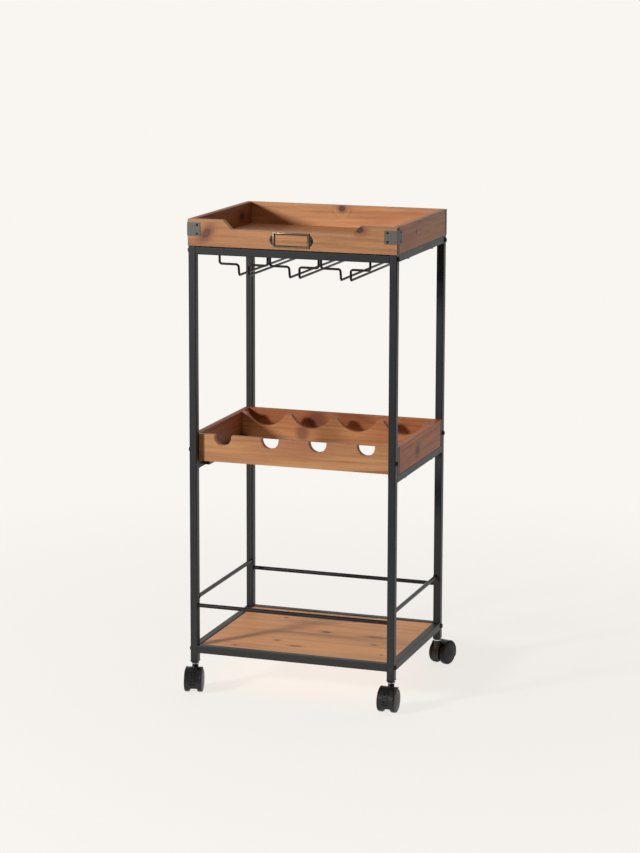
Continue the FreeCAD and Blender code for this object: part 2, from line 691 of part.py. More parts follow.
def caster_wheel(side):
    """One moulded wheel with a rounded tread, a domed outer face and a blind bore."""
    inner = WHEEL_INNER
    outer = inner + WHEEL_WIDTH
    tread = Part.makeCylinder(WHEEL_RADIUS, WHEEL_WIDTH, V(inner, 0, 0), V(1, 0, 0))
    tread = tread.makeFillet(WHEEL_ROUNDING, [edge for edge in tread.Edges if edge.Closed and
                                              isinstance(edge.Curve, Part.Circle)])
    cap = dome(WHEEL_RADIUS - 2 * WHEEL_ROUNDING, WHEEL_DOME, (outer, 0, 0), V(1, 0, 0))
    start = V(inner - 1, 0, 0)
    recess = Part.makeCylinder(WHEEL_RADIUS - WHEEL_RIM, WHEEL_RECESS + 1, start, V(1, 0, 0))
    recess = recess.cut(Part.makeCylinder(WHEEL_HUB_RADIUS, WHEEL_RECESS + 2, start, V(1, 0, 0)))
    bore = rod(AXLE_RADIUS + RUNNING_FIT, (0, 0, 0), (AXLE_HALF_LENGTH + WHEEL_BORE_END, 0, 0))
    wheel = tread.fuse(cap).cut(recess).cut(bore).removeSplitter()
    if side < 0:
        wheel = wheel.mirror(V(0, 0, 0), V(1, 0, 0))
    wheel.translate(AXLE_CENTRE)
    return wheel


def casters():
    """Hood, axle and two wheels at each corner, and a brake pedal on each front caster."""
    made = {}
    for corner in CORNERS:
        made["caster_hood_" + corner] = on_corner(caster_hood(corner in BRAKED), corner)
        made["caster_axle_" + corner] = on_corner(around_axle(AXLE_RADIUS, AXLE_HALF_LENGTH), corner)
        made["wheel_a_" + corner] = on_corner(caster_wheel(-1), corner)
        made["wheel_b_" + corner] = on_corner(caster_wheel(1), corner)
        if corner in BRAKED:
            made["brake_pedal_" + corner] = on_corner(brake_pedal(), corner)
    return made


def post_plugs():
    """Plastic plugs in the ends of the posts, with a bevelled cap."""
    half = TUBE / 2
    bore = TUBE / 2 - TUBE_WALL
    plugs = []
    for side_x, side_y in CORNERS.values():
        x, y = side_x * POST_X, side_y * POST_Y
        cap = block((x - half, y - half, POST_BOTTOM - PLUG_CAP), (x + half, y + half, POST_BOTTOM))
        lower = [edge for edge in cap.Edges if abs(edge.CenterOfMass.z - (POST_BOTTOM - PLUG_CAP)) < 0.01]
        cap = cap.makeChamfer(PLUG_BEVEL, lower)
        body = block((x - bore, y - bore, POST_BOTTOM), (x + bore, y + bore, POST_BOTTOM + PLUG_DEPTH))
        hole = rod(STEM_RADIUS, (x, y, POST_BOTTOM - PLUG_CAP - 1), (x, y, POST_BOTTOM + PLUG_DEPTH + 1))
        clear = rod(BOLT_RADIUS, (x - TUBE, y, SHELF_BOLT_HEIGHT), (x + TUBE, y, SHELF_BOLT_HEIGHT))
        plugs.append(cap.fuse(body).cut(hole).cut(clear).removeSplitter())
    return group(plugs)


def caster_stems():
    """The steel stems screwed into the plugs, each with the washer that its caster turns under."""
    stems = []
    washer_top = POST_BOTTOM - PLUG_CAP
    for side_x, side_y in CORNERS.values():
        x, y = side_x * POST_X, side_y * POST_Y
        stem = rod(STEM_RADIUS, (x, y, STEM_BOTTOM), (x, y, POST_BOTTOM + PLUG_DEPTH - STEM_SHORT_OF_PLUG))
        washer = Part.makeCylinder(WASHER_RADIUS, WASHER_THICKNESS, V(x, y, washer_top - WASHER_THICKNESS))
        stems.append(stem.fuse(washer))
    return group(stems)


# ---------------------------------------------------------------- the whole cart

def drilled(made):
    """The pieces with the holes that the wood screws run in."""
    screws = made["wood_screws"]
    for name in ("top_side_rails", "rack_side_rails", "tray_left", "tray_right", "rack_left", "rack_right",
                 "rack_cleats", "rack_saddle", "rack_back", "shelf_tabs", "shelf_panel"):
        made[name] = group([made[name].cut(screws)])
    return made


def cart():
    """Every piece of the cart by name."""
    made = posts()
    made["post_splices"] = post_splices()
    made["top_long_rails"] = long_rails(TOP_LONG_RAIL_BOTTOM)
    made["top_side_rails"] = side_rails(TOP_RAIL_BOTTOM)
    made["rack_side_rails"] = side_rails(RACK_RAIL_BOTTOM)
    made["shelf_long_rails"] = long_rails(SHELF_RAIL_BOTTOM)
    made["shelf_side_rails"] = side_rails(SHELF_RAIL_BOTTOM)
    made["rail_nuts"] = rail_nuts()
    made["frame_bolts"] = frame_bolts()
    made["long_guards"] = long_guards()
    made["side_guards"] = side_guards()
    made["shelf_panel"] = shelf_panel()
    made["shelf_tabs"] = shelf_tabs()
    made["tray_front"] = tray_front()
    made["tray_back"] = tray_back()
    made["tray_left"] = tray_side(-1)
    made["tray_right"] = tray_side(1)
    made["tray_floor"] = tray_floor()
    made["corner_plates"] = corner_plates()
    made["plate_rivets"] = plate_rivets()
    made["label_holder"] = label_holder()
    made["label_screws"] = label_screws()
    made["rack_front"] = rack_front()
    made["rack_saddle"] = rack_saddle()
    made["rack_back"] = rack_back()
    made["rack_left"] = rack_side(-1)
    made["rack_right"] = rack_side(1)
    made["rack_cleats"] = rack_cleats()
    for index, place in enumerate(("left", "middle", "right")):
        made["glass_hanger_" + place] = glass_hanger(index)
    made["wood_screws"] = wood_screws()
    made["post_plugs"] = post_plugs()
    made["caster_stems"] = caster_stems()
    made.update(casters())
    return drilled(made)


os.makedirs("parts", exist_ok=True)
for name, shape in cart().items():
    shape.exportStep("parts/" + name + ".step")
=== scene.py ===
"""The looks of a bar cart: stained softwood boards on a charcoal steel frame, with plastic casters.

Metres, in the frame of the CAD model: +X is the user's right, +Y the back and +Z up.
Sizes in the code are millimetres times MM.
"""
import math

import bmesh
import bpy
from mathutils import Matrix, Vector


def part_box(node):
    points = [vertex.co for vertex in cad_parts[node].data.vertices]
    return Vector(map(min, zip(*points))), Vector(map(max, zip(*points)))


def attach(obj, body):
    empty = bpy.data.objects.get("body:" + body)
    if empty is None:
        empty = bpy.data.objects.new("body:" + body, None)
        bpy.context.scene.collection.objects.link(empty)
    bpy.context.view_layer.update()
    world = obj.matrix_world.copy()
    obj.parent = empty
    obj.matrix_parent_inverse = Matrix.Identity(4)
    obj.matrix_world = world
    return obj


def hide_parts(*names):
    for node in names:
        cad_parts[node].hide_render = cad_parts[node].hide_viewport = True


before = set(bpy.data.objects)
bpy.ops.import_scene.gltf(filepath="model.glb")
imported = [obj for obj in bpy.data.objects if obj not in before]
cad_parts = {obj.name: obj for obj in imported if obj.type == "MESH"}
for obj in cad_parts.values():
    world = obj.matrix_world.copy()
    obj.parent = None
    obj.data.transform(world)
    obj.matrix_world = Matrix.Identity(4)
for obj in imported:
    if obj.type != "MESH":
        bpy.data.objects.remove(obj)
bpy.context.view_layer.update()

MM = 0.001
X, Y, Z = 0, 1, 2
CORNERS = ("fl", "fr", "rl", "rr")
BRAKED = ("fl", "fr")


def middle_of(node):
    """The middle of a CAD node's box."""
    low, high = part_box(node)
    return (low + high) / 2


# ---------------------------------------------------------------- camera

CAMERA_PLACE = (1.6186, -4.7577, 1.5113)
CAMERA_AZIMUTH = 18.77
CAMERA_ELEVATION = 9.354
CAMERA_ROLL = 0.161
CAMERA_LENS = 109.19
CAMERA_SHIFT = -0.1002


def set_up_camera():
    """A long lens from the front, a little to the right and above."""
    camera = bpy.data.objects.new("camera", bpy.data.cameras.new("camera"))
    bpy.context.scene.collection.objects.link(camera)
    bpy.context.scene.camera = camera
    camera.data.lens = CAMERA_LENS
    camera.data.shift_y = CAMERA_SHIFT
    camera.data.clip_end = 200.0
    turn = Matrix.Rotation(math.radians(CAMERA_AZIMUTH), 4, "Z")
    tilt = Matrix.Rotation(math.radians(90 - CAMERA_ELEVATION), 4, "X")
    roll = Matrix.Rotation(math.radians(CAMERA_ROLL), 4, "Z")
    camera.matrix_world = Matrix.Translation(CAMERA_PLACE) @ turn @ tilt @ roll


set_up_camera()


# ---------------------------------------------------------------- shader sums

class Value:
    """A shader socket that takes part in Python sums."""

    def __init__(self, finish, socket):
        self.finish = finish
        self.socket = socket

    def sum(self, operation, *numbers):
        inputs = dict(enumerate(numbers or (self,)))
        return self.finish.node("ShaderNodeMath", {"operation": operation}, inputs)

    def __add__(self, other):
        return self.sum("ADD", self, other)

    def __radd__(self, other):
        return self.sum("ADD", other, self)

    def __sub__(self, other):
        return self.sum("SUBTRACT", self, other)

    def __rsub__(self, other):
        return self.sum("SUBTRACT", other, self)

    def __mul__(self, other):
        return self.sum("MULTIPLY", self, other)

    def __truediv__(self, other):
        return self.sum("DIVIDE", self, other)

    def __abs__(self):
        return self.sum("ABSOLUTE", self)

    def least(self, other):
        return self.sum("MINIMUM", self, other)

    def most(self, other):
        return self.sum("MAXIMUM", self, other)

    def whole(self):
        """The whole number at or under it."""
        return self.sum("FLOOR")

    def part(self):
        """What is left after the whole number."""
        return self.sum("FRACT")

    def length_with(self, other):
        """The long side of a right triangle on these two."""
        return (self * self + other * other).sum("SQRT")

    def rises(self, start, end):
        """0 up to start, 1 from end on, and a smooth step between them."""
        settings = {"interpolation_type": "SMOOTHSTEP"}
        return self.finish.node("ShaderNodeMapRange", settings, {0: self, 1: start, 2: end, 3: 0.0, 4: 1.0})


class Finish:
    """A material that is put together node by node round one Principled shader."""

    def __init__(self, name):
        self.material = bpy.data.materials.new(name)
        self.material.use_nodes = True
        self.nodes = self.material.node_tree.nodes
        self.links = self.material.node_tree.links
        self.shader = next(node for node in self.nodes if node.type == "BSDF_PRINCIPLED")

    def feed(self, socket, value):
        """Links a value to a socket, or sets it there."""
        if isinstance(value, Value):
            self.links.new(value.socket, socket)
        else:
            socket.default_value = value

    def node(self, kind, settings=None, inputs=None, output=0):
        """Adds a node: its settings first, then its inputs by name or number."""
        made = self.nodes.new(kind)
        for key, value in (settings or {}).items():
            setattr(made, key, value)
        for key, value in (inputs or {}).items():
            self.feed(made.inputs[key], value)
        return Value(self, made.outputs[output])

    def split(self, vector):
        """The three numbers of a vector."""
        first = self.node("ShaderNodeSeparateXYZ", None, {0: vector})
        return [Value(self, socket) for socket in first.socket.node.outputs]

    def join(self, x, y, z):
        """A vector from three numbers."""
        return self.node("ShaderNodeCombineXYZ", None, {0: x, 1: y, 2: z})

    def place(self):
        """The point on the object, in metres."""
        return self.node("ShaderNodeTexCoord", output="Object")

    def noise(self, vector, stretch, seed, detail, roughness=0.5):
        """Soft noise; stretch is how many lumps there are in a metre each way."""
        moved = self.node("ShaderNodeVectorMath", {"operation": "MULTIPLY_ADD"},
                          {0: vector, 1: stretch, 2: (seed, seed * 1.7, seed * 0.6)})
        return self.node("ShaderNodeTexNoise", None,
                         {"Vector": moved, "Scale": 1.0, "Detail": detail, "Roughness": roughness})

    def mix(self, share, first, second, blend="MIX"):
        """One colour over another."""
        settings = {"data_type": "RGBA", "blend_type": blend}
        return self.node("ShaderNodeMix", settings, {0: share, 6: first, 7: second}, output=2)

    def bump(self, height, distance, strength):
        """Raises the surface where height is 1."""
        return self.node("ShaderNodeBump", None, {"Height": height, "Distance": distance, "Strength": strength})

    def shade(self, **inputs):
        """Sets or links the shader's sockets; a socket's name has _ for its spaces."""
        for key, value in inputs.items():
            self.feed(self.shader.inputs[key.replace("_", " ")], value)
        return self.material


def colour(red, green, blue):
    """An opaque colour."""
    return (red, green, blue, 1.0)


# ---------------------------------------------------------------- wood

# Fibres in a metre along, through and across a board, and how far the grain stands up.
FIBRE_STRETCH = (46.0, 1900.0, 1900.0)
GRAIN_HEIGHT = 0.18 * MM
# The number of the strip at a panel's middle, which settles what each strip's log looks like.
MIDDLE_STRIP = 20.0

EARLY_WOOD = colour(0.635, 0.303, 0.126)
LATE_WOOD = colour(0.280, 0.104, 0.044)
RED_WOOD = colour(0.385, 0.132, 0.062)
END_WOOD = colour(0.082, 0.020, 0.010)
KNOT_HEART = colour(0.070, 0.030, 0.022)
KNOT_HALO = colour(0.190, 0.072, 0.042)
WORN_AND_SHEEN_WOOD = colour(0.560, 0.360, 0.235)


def knot(along, across, radius, stretch=1.35, lean=0.0, heart=1.0, rim=1.0):
    """A knot: its place and radius on the board in millimetres, how long and slanted it is, and how dark
    its heart and its rim are."""
    return along * MM, across * MM, radius * MM, stretch, lean, heart, rim


def stain(along, across, radius, stretch=1.0):
    """A dark cloud in the wood round a knot that lies under the face."""
    return knot(along, across, radius, stretch, 0.0, 0.0, 0.0)


def knot_marks(a, w, warp, knots):
    """How far the knots push the rings aside, how dark their hearts are and how dark the wood round them.

    a and w are the place along and across the board, and warp makes the outlines uneven.
    """
    push, heart, halo = 0.0, 0.0, 0.0
    for place_a, place_w, size, stretch, lean, dark, ringed in knots:
        up = w - place_w
        reach = ((a - place_a - up * lean) / stretch).length_with(up) + warp * 0.25
        near = 1.0 - reach.rises(size * 0.7, size * 3.6)
        inside = 1.0 - reach.rises(size * 0.62, size * 1.12)
        rim = inside * reach.rises(size * 0.45, size * 0.85)
        push = near * (size * 0.8 * max(dark, ringed)) + push
        heart = (inside * (0.86 * dark) + rim * (ringed * (0.92 - 0.78 * dark))).most(heart)
        halo = near.most(halo)
    return push, heart, halo


def growth_rings(finish, grained, radius, ring, seed):
    """Late wood at the end of each year, stronger in some years and places than in others."""
    phase = (radius / (ring * MM)).part()
    late = phase.rises(0.20, 0.88) * (1.0 - phase.rises(0.90, 1.0))
    years = finish.noise(grained, (1.8, 34.0, 34.0), seed + 21.0, 2.0)
    return late * (0.30 + years.rises(0.38, 0.66) * 0.70)


def near_edges(offsets, halves, reach):
    """1 along the edges of a board and 0 on its faces."""
    gaps = [half - abs(offset) for offset, half in zip(offsets, halves)]
    low, high = gaps[0].least(gaps[1]), gaps[0].most(gaps[1])
    second = low.most(high.least(gaps[2]))
    return 1.0 - second.rises(0.3 * MM, reach)


def from_middle(finish, board):
    """How far a point lies from a board's middle along X, Y and Z."""
    middle = middle_of(board)
    here = finish.node("ShaderNodeVectorMath", {"operation": "SUBTRACT"}, {0: finish.place(), 1: middle})
    return finish.split(here)


def solid_wood(name, board, along, through, pith, knots, ring, tone_and_painted_shade, seed):
    """Stained softwood cut from a log: growth rings round a pith that lies beside the board.

    pith is how far the log's middle lies from the board's, through and across it, in millimetres, ring how
    thick a year is, and tone_and_painted_shade what the stain leaves of red, green and blue, darkened as
    painted shade on boards that lie in shadow and raised as painted light on boards that face the lamp.
    """
    finish = Finish(name)
    low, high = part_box(board)
    across = 3 - along - through
    order = (along, through, across)
    parts = from_middle(finish, board)
    a, t, w = (parts[axis] for axis in order)
    halves = [(high[axis] - low[axis]) / 2 for axis in order]
    grained = finish.join(a, t, w)

    warp = (finish.noise(grained, (3.5, 16.0, 16.0), seed, 3.0) - 0.5) * 0.018
    wander = (finish.noise(grained, (1.6, 2.0, 2.0), seed + 4.0, 1.0) - 0.5) * 0.055
    push, heart, halo = knot_marks(a, w, warp, knots)
    radius = (t - pith[0] * MM + wander).length_with(w - pith[1] * MM) + warp + push
    late = growth_rings(finish, grained, radius, ring, seed)
    streaks = finish.noise(grained, (6.0, 190.0, 190.0), seed + 9.0, 4.0, 0.6)
    fibres = finish.noise(grained, FIBRE_STRETCH, seed + 2.0, 2.0)
    pores = finish.noise(grained, (95.0, 1250.0, 1250.0), seed + 6.0, 1.0).rises(0.60, 0.72)
    clouds = finish.noise(grained, (4.0, 15.0, 15.0), seed + 13.0, 2.0)
    bands = finish.noise(grained, (2.2, 52.0, 52.0), seed + 17.0, 2.0)

    body = late * 0.46 + (streaks - 0.5) * 1.15 + (fibres - 0.5) * 0.22 + (bands - 0.5) * 0.90 + 0.14
    shade = finish.mix(body, EARLY_WOOD, LATE_WOOD)
    shade = finish.mix(clouds.rises(0.40, 0.72) * 0.65, shade, RED_WOOD)
    shade = finish.mix(pores * 0.28, shade, KNOT_HALO)
    if knots:
        shade = finish.mix(halo * halo * 0.74, shade, KNOT_HALO)
        shade = finish.mix(heart, shade, KNOT_HEART)
    # Lighter, greyer edges: partly wear, and partly a painted sheen where the edges catch the light.
    edge = near_edges((a, t, w), halves, 1.7 * MM) * streaks.rises(0.34, 0.62)
    shade = finish.mix(edge * 0.32, shade, WORN_AND_SHEEN_WOOD)
    end = 1.0 - (halves[0] - abs(a)).rises(0.3 * MM, 1.1 * MM)
    shade = finish.mix(end * (0.92 + (late - 0.5) * 0.15), shade, END_WOOD)
    # Multiplies in the board's tone: its stain colour, with painted shade for boards in shadow and painted
    # light for boards that face the lamp.
    shade = finish.mix(1.0, shade, colour(*tone_and_painted_shade), "MULTIPLY")

    relief = finish.bump(fibres * 0.5 + (1.0 - late) * 0.5 - pores * 0.6, GRAIN_HEIGHT, 0.55)
    return finish.shade(Base_Color=shade, Roughness=0.45 + streaks * 0.16 - late * 0.06, Normal=relief,
                        Specular_IOR_Level=0.30)


def laminated_wood(name, board, strip, knots, tone_and_painted_shade):
    """A panel glued up from strips that run along X, each cut from another log.

    strip is the width of a strip in millimetres, and tone_and_painted_shade is as in solid_wood; on the shelf
    it brightens the panel as painted light.
    """
    finish = Finish(name)
    a, w, t = from_middle(finish, board)
    strips = w / (strip * MM) + MIDDLE_STRIP
    lot = finish.node("ShaderNodeTexWhiteNoise", {"noise_dimensions": "1D"}, {"W": strips.whole()})
    inside = strips.part()
    grained = finish.join(a + lot * 3.7, t, w)
    warp = (finish.noise(grained, (4.0, 18.0, 18.0), 1.0, 3.0) - 0.5) * 0.014
    push, heart, halo = knot_marks(a, w, warp, knots)
    radius = (t + 0.028 + lot * 0.02).length_with((inside - lot) * (strip * MM)) + warp + push
    late = growth_rings(finish, grained, radius, 4.8, 2.0)
    streaks = finish.noise(grained, (5.0, 150.0, 150.0), 3.0, 4.0, 0.6)
    fibres = finish.noise(grained, FIBRE_STRETCH, 5.0, 2.0)
    bands = finish.noise(grained, (2.0, 40.0, 40.0), 8.0, 2.0)
    body = late * 0.34 + (streaks - 0.5) * 0.75 + (bands - 0.5) * 0.6 + (lot - 0.5) * 0.18 + 0.06
    shade = finish.mix(body, EARLY_WOOD, LATE_WOOD)
    shade = finish.mix(halo * halo * 0.5, shade, KNOT_HALO)
    shade = finish.mix(heart, shade, KNOT_HEART)
    seam = 1.0 - inside.least(1.0 - inside).rises(0.003, 0.014)
    shade = finish.mix(seam * 0.35, shade, KNOT_HALO)
    # Multiplies in the tone, which brightens the shelf as painted light.
    shade = finish.mix(1.0, shade, colour(*tone_and_painted_shade), "MULTIPLY")
    relief = finish.bump(fibres * 0.5 - seam * 0.5 + (1.0 - late) * 0.4, GRAIN_HEIGHT, 0.5)
    return finish.shade(Base_Color=shade, Roughness=0.44 + streaks * 0.16, Normal=relief,
                        Specular_IOR_Level=0.30)


# ---------------------------------------------------------------- steel, brass and plastic

def powder_coat():
    """Charcoal powder coat: a fine orange-peel skin with a few rubbed spots."""
    finish = Finish("charcoal_powder_coat")
    place = finish.place()
    peel = finish.noise(place, (1500.0, 1500.0, 1500.0), 0.0, 2.0)
    clouds = finish.noise(place, (14.0, 14.0, 14.0), 3.0, 3.0)
    specks = finish.noise(place, (3200.0, 3200.0, 3200.0), 5.0, 0.0).rises(0.60, 0.74)
    shade = finish.mix(clouds, colour(0.014, 0.014, 0.0145), colour(0.021, 0.021, 0.021))
    shade = finish.mix(specks * 0.18, shade, colour(0.080, 0.078, 0.076))
    return finish.shade(Base_Color=shade, Roughness=0.40 + clouds * 0.16, Specular_IOR_Level=0.42,
                        Normal=finish.bump(peel, 0.00006, 0.5))


def black_wire():
    """Semi-gloss black coat on bent wire and rods."""
    finish = Finish("black_wire_coat")
    place = finish.place()
    clouds = finish.noise(place, (40.0, 40.0, 40.0), 1.0, 3.0)
    peel = finish.noise(place, (900.0, 900.0, 900.0), 2.0, 2.0)
    shade = finish.mix(clouds, colour(0.009, 0.008, 0.008), colour(0.018, 0.016, 0.015))
    return finish.shade(Base_Color=shade, Roughness=0.27 + clouds * 0.14, Specular_IOR_Level=0.3,
                        Normal=finish.bump(peel, 0.00004, 0.4))


def antique_steel():
    """Dull grey plate, mottled and rubbed brighter here and there."""
    finish = Finish("antique_steel")
    place = finish.place()
    mottle = finish.noise(place, (230.0, 230.0, 230.0), 1.0, 4.0, 0.65)
    scratch = finish.noise(place, (60.0, 60.0, 2600.0), 4.0, 1.0).rises(0.63, 0.74)
    fine = finish.noise(place, (1300.0, 1300.0, 1300.0), 6.0, 2.0)
    shade = finish.mix((mottle - 0.5) * 0.9 + fine, colour(0.100, 0.092, 0.082), colour(0.185, 0.172, 0.158))
    shade = finish.mix(scratch * 0.20, shade, colour(0.26, 0.25, 0.23))
    return finish.shade(Base_Color=shade, Metallic=0.35, Roughness=0.46 + mottle * 0.22,
                        Normal=finish.bump(mottle + fine * 0.4, 0.00006, 0.5))


def aged_brass():
    """Brass gone brown, with yellow metal where it is rubbed."""
    finish = Finish("aged_brass")
    place = finish.place()
    mottle = finish.noise(place, (160.0, 160.0, 160.0), 2.0, 4.0, 0.65)
    fine = finish.noise(place, (900.0, 900.0, 900.0), 4.0, 2.0)
    low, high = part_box("label_holder")
    proud = 1.0 - finish.split(place)[Y].rises(low[Y], high[Y] - 0.9 * MM)
    rubbed = (proud * 0.75 + (mottle - 0.5) * 0.9 + (fine - 0.5) * 0.4).rises(0.35, 0.85)
    shade = finish.mix(rubbed, colour(0.062, 0.046, 0.028), colour(0.42, 0.34, 0.19))
    return finish.shade(Base_Color=shade, Metallic=0.7, Roughness=0.50 - rubbed * 0.16,
                        Normal=finish.bump(mottle + fine * 0.3, 0.00010, 0.5))


def black_oxide():
    """Blackened steel of the bolts, rivets and screws."""
    finish = Finish("black_oxide")
    grain = finish.noise(finish.place(), (700.0, 700.0, 700.0), 0.0, 3.0)
    shade = finish.mix(grain, colour(0.010, 0.010, 0.011), colour(0.034, 0.032, 0.031))
    return finish.shade(Base_Color=shade, Roughness=0.40 + grain * 0.22, Specular_IOR_Level=0.3,
                        Normal=finish.bump(grain, 0.00004, 0.5))


def zinc_plate():
    """Bright zinc on the stems, washers, nuts and axles."""
    finish = Finish("zinc_plate")
    grain = finish.noise(finish.place(), (380.0, 380.0, 380.0), 0.0, 3.0)
    shade = finish.mix(grain, colour(0.50, 0.50, 0.50), colour(0.72, 0.72, 0.71))
    return finish.shade(Base_Color=shade, Metallic=0.9, Roughness=0.24 + grain * 0.2,
                        Normal=finish.bump(grain, 0.00005, 0.4))


def moulded_plastic(name, dark, light, roughness, gloss):
    """Black plastic with the fine spark grain of its mould."""
    finish = Finish(name)
    place = finish.place()
    spark = finish.noise(place, (1700.0, 1700.0, 1700.0), 0.0, 2.0)
    clouds = finish.noise(place, (70.0, 70.0, 70.0), 2.0, 3.0)
    dust = finish.noise(place, (520.0, 520.0, 520.0), 7.0, 3.0, 0.7).rises(0.60, 0.78)
    shade = finish.mix(clouds, colour(*dark), colour(*light))
    shade = finish.mix(dust * 0.12, shade, colour(0.10, 0.097, 0.094))
    return finish.shade(Base_Color=shade, Roughness=roughness + clouds * 0.14, Specular_IOR_Level=gloss,
                        Normal=finish.bump(spark, 0.00005, 0.5))


FRAME_COAT = powder_coat()
WIRE_COAT = black_wire()
PLATE_STEEL = antique_steel()
BRASS = aged_brass()
OXIDE = black_oxide()
ZINC = zinc_plate()
HOOD_PLASTIC = moulded_plastic("hood_plastic", (0.0055, 0.0055, 0.006), (0.011, 0.011, 0.0115), 0.34, 0.42)
WHEEL_PLASTIC = moulded_plastic("wheel_plastic", (0.005, 0.005, 0.005), (0.009, 0.0088, 0.0085), 0.30, 0.24)


# ---------------------------------------------------------------- dressing the CAD nodes

def dress(material, *names):
    """Gives CAD nodes a finish."""
    for name in names:
        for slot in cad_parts[name].material_slots:
            slot.material = material


def dress_frame():
    """Everything of the CAD model that stays as it is and isn't wood."""
    posts = ["%s_post_%s" % (length, corner) for length in ("upper", "lower") for corner in CORNERS]
    dress(FRAME_COAT, *posts)
    dress(FRAME_COAT, "top_long_rails", "top_side_rails", "rack_side_rails", "shelf_long_rails",
          "shelf_side_rails", "shelf_tabs")
    dress(WIRE_COAT, "long_guards", "side_guards", "glass_hanger_left", "glass_hanger_middle",
          "glass_hanger_right")
    dress(ZINC, "rail_nuts", "post_splices", "caster_stems", "wood_screws")
    dress(ZINC, *["caster_axle_" + corner for corner in CORNERS])
    dress(HOOD_PLASTIC, "post_plugs", *["caster_hood_" + corner for corner in CORNERS])
    dress(PLATE_STEEL, "corner_plates")


SHELF_STRIP = 58.0


def dress_boards():
    """One log a board, so that no two boards have the same figure.

    Each row is: along which axis the grain runs, which axis is the thickness, where the pith lies, the knots,
    the thickness of a year and the tone, which is also painted shade on the boards in shadow and painted light
    on the tray's back and the shelf.
    """
    # The tones darken the boards in shadow (left boards, rack back, right side, saddle and cleats) as painted
    # shade, and brighten the tray's back and the shelf as painted light.
    boards = {
        "tray_front": (X, Y, (46, -34), (knot(-172.5, -1, 10.0, 0.8, 0.5, 0.5, 0.4), knot(135.5, 19, 6.5)), 7.5,
                       (0.98, 0.97, 1.0)),
        "tray_back": (X, Y, (-44, 16), (knot(-5, 19.5, 7.0, 1.1, 0.0, 0.85),), 7.0, (1.28, 1.34, 1.34)),
        "tray_left": (Y, X, (34, 12), (knot(98, 3, 6.5, 1.5),), 6.0, (0.58, 0.44, 0.32)),
        "tray_right": (Y, X, (-40, -18), (knot(-43, 5.5, 3.0, 1.1),), 6.0, (0.95, 0.82, 0.74)),
        "tray_floor": (X, Z, (-45, 30), (knot(60, -40, 5.0), knot(-110, 70, 3.5)), 7.5, (1.08, 1.06, 1.00)),
        "rack_front": (X, Y, (60, -42), (), 8.0, (1.02, 1.05, 1.06)),
        "rack_saddle": (X, Y, (-46, -30), (stain(-67, -9, 9.0, 0.9),), 6.5, (0.94, 0.84, 0.74)),
        "rack_back": (X, Y, (44, 26), (stain(-52, 12, 11.0, 1.2),), 6.5, (0.74, 0.54, 0.42)),
        "rack_left": (Y, X, (30, 12), (), 5.5, (0.54, 0.30, 0.20)),
        "rack_right": (Y, X, (-36, 14), (knot(-20.5, -3, 8.0, 1.2, 0.0, 0.45),), 6.0, (0.90, 0.58, 0.42)),
        "rack_cleats": (Y, Z, (20, 5), (), 4.5, (0.62, 0.50, 0.45)),
    }
    for seed, (name, (along, through, pith, knots, ring, tone_and_painted_shade)) in enumerate(boards.items()):
        dress(solid_wood("wood_of_" + name, name, along, through, pith, knots, ring, tone_and_painted_shade, seed * 5.3), name)
    knots = (knot(10.5, 16.5, 4.6, 1.9), knot(-62.5, -71, 3.4, 1.7, 0.0, 0.8), knot(-129, -132, 3.0),
             knot(-14.5, -99.5, 3.2, 3.4, 0.0, 0.5), knot(130, -41, 3.6, 1.8, 0.0, 0.7), knot(164, -103, 2.6),
             knot(118, 12, 4.5, 3.6, 0.0, 0.4), knot(-100, 92, 2.6), knot(40, 108, 2.2))
    dress(laminated_wood("wood_of_shelf", "shelf_panel", SHELF_STRIP, knots, (1.50, 1.44, 1.34)), "shelf_panel")


dress_frame()
dress_boards()


# ---------------------------------------------------------------- making pieces

def ring_of(part, points, before=None):
    """Adds a closed ring of edges through the points, joined by faces to the ring before it."""
    verts = [part.verts.new(point) for point in points]
    edges = [part.edges.new(pair) for pair in zip(verts, verts[1:] + verts[:1])]
    if before:
        bmesh.ops.bridge_loops(part, edges=before + edges)
    return edges


def turned(profile, steps):
    """A profile of radii and heights in millimetres, turned about Z."""
    part = bmesh.new()
    chain = [part.verts.new((radius * MM, 0.0, height * MM)) for radius, height in profile]
    for pair in zip(chain, chain[1:]):
        part.edges.new(pair)
    bmesh.ops.spin(part, geom=part.verts[:] + part.edges[:], cent=(0, 0, 0), axis=(0, 0, 1), angle=math.tau,
                   steps=steps, use_merge=True)
    bmesh.ops.remove_doubles(part, verts=part.verts[:], dist=0.002 * MM)
    bmesh.ops.recalc_face_normals(part, faces=part.faces[:])
    return part


class Piece:
    """A mesh that is put together from parts, each shaped on its own."""

    def __init__(self):
        self.mesh = bmesh.new()

    def add(self, part, *places):
        """Adds a copy of a part at each place."""
        for place in places:
            copy = part.copy()
            bmesh.ops.transform(copy, matrix=place, verts=copy.verts[:])
            scratch = bpy.data.meshes.new("scratch")
            copy.to_mesh(scratch)
            self.mesh.from_mesh(scratch)
            bpy.data.meshes.remove(scratch)
            copy.free()
        part.free()
        return self

    def finish(self, name, body, material, slot, *stands_for, sharp=40.0):
        """Makes the object, which rides on a body in place of the CAD nodes it stands for."""
        mesh = bpy.data.meshes.new(name)
        for face in self.mesh.faces:
            face.smooth = True
        self.mesh.to_mesh(mesh)
        self.mesh.free()
        mesh.set_sharp_from_angle(angle=math.radians(sharp))
        mesh.materials.append(material)
        made = bpy.data.objects.new(name, mesh)
        bpy.context.scene.collection.objects.link(made)
        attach(made, body)
        if stands_for:
            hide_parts(*stands_for)


def facing(place, direction):
    """A place whose Z axis points along a direction."""
    turn = Vector(direction).to_track_quat("Z", "Y").to_matrix().to_4x4()
    return Matrix.Translation(place) @ turn


# ---------------------------------------------------------------- fasteners

# Rings of a domed head: their share of its radius and of its height.
DOME_STEPS = ((0.78, 0.86), (0.93, 0.55), (1.0, 0.12), (1.0, 0.0))


